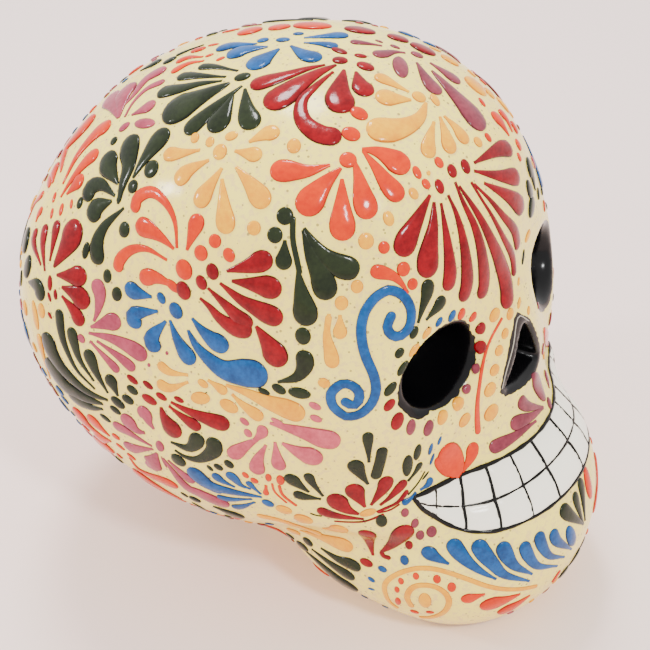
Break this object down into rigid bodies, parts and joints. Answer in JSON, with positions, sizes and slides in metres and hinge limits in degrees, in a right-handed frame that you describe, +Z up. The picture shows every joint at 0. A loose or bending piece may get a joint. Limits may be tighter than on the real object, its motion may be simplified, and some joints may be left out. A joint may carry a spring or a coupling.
{
  "type": "painted ceramic skull",
  "caption": "Glazed ceramic skull ornament with deep eye and nose recesses, two rows of teeth and a flat foot to stand on.",
  "frame": {"origin": "on the surface that the skull stands on, under the middle of its box", "axes": "+Z up, the face looks along -Y, +X towards the skull's own left side"},
  "size_m": [0.135, 0.1804, 0.1629],
  "materials": {
    "glazed_clay": "cream glaze with fine tan specks, under raised glossy strokes of crimson, orange, yellow, dark green, blue and rose; white teeth with black outlines; glossy black eye and nose recesses; bare foot"
  },
  "bodies": {
    "root": {"skull": "glazed_clay"}
  },
  "joints": []
}
